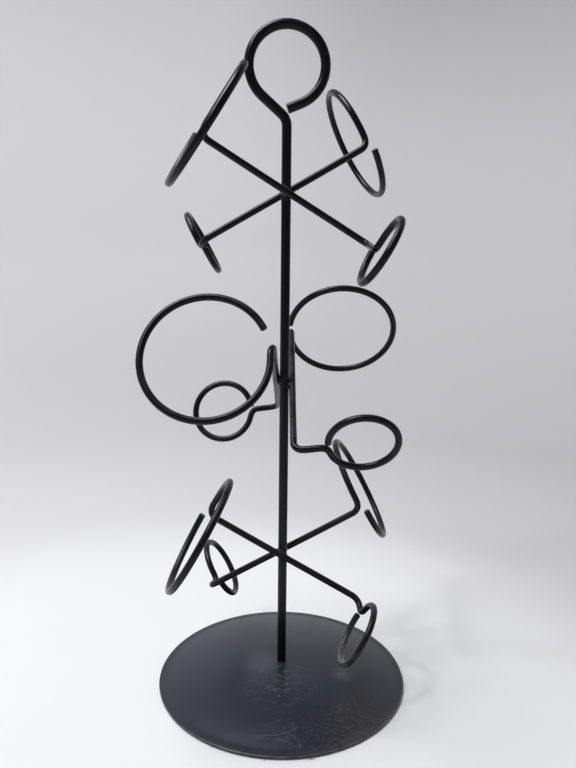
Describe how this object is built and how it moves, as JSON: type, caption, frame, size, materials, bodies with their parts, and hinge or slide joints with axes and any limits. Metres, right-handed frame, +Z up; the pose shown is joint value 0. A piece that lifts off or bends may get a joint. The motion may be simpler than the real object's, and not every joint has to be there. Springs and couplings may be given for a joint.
{
  "type": "wine bottle tree",
  "caption": "Freestanding wire rack: a rod with an eye loop stands on a round domed plate and carries bent wires, each with a large and a small ring for a bottle lying neck down.",
  "frame": {"origin": "on the ground, on the axis of the centre rod and of the round plate", "axes": "+Z up along the rod; the eye loop's plane and the upper and lower wires run about along X, and the middle wires about along Y; the pictured front faces -Y"},
  "size_m": [0.223, 0.2363, 0.566],
  "materials": {
    "black_coat": "satin black powder coat",
    "plate_coat": "satin blue-black powder coat, scuffed",
    "zinc": "zinc plated",
    "felt": "dense black felt"
  },
  "bodies": {
    "root": {"felt_ring": "felt", "base_plate": "plate_coat", "base_washer": "zinc", "base_screw": "zinc", "centre_rod": "black_coat", "wire_upper_front": "black_coat", "weld_upper_front": "black_coat", "wire_upper_rear": "black_coat", "weld_upper_rear": "black_coat", "wire_middle_left": "black_coat", "weld_middle_left": "black_coat", "wire_middle_right": "black_coat", "weld_middle_right": "black_coat", "wire_lower_front": "black_coat", "weld_lower_front": "black_coat", "wire_lower_rear": "black_coat", "weld_lower_rear": "black_coat"}
  },
  "joints": []
}
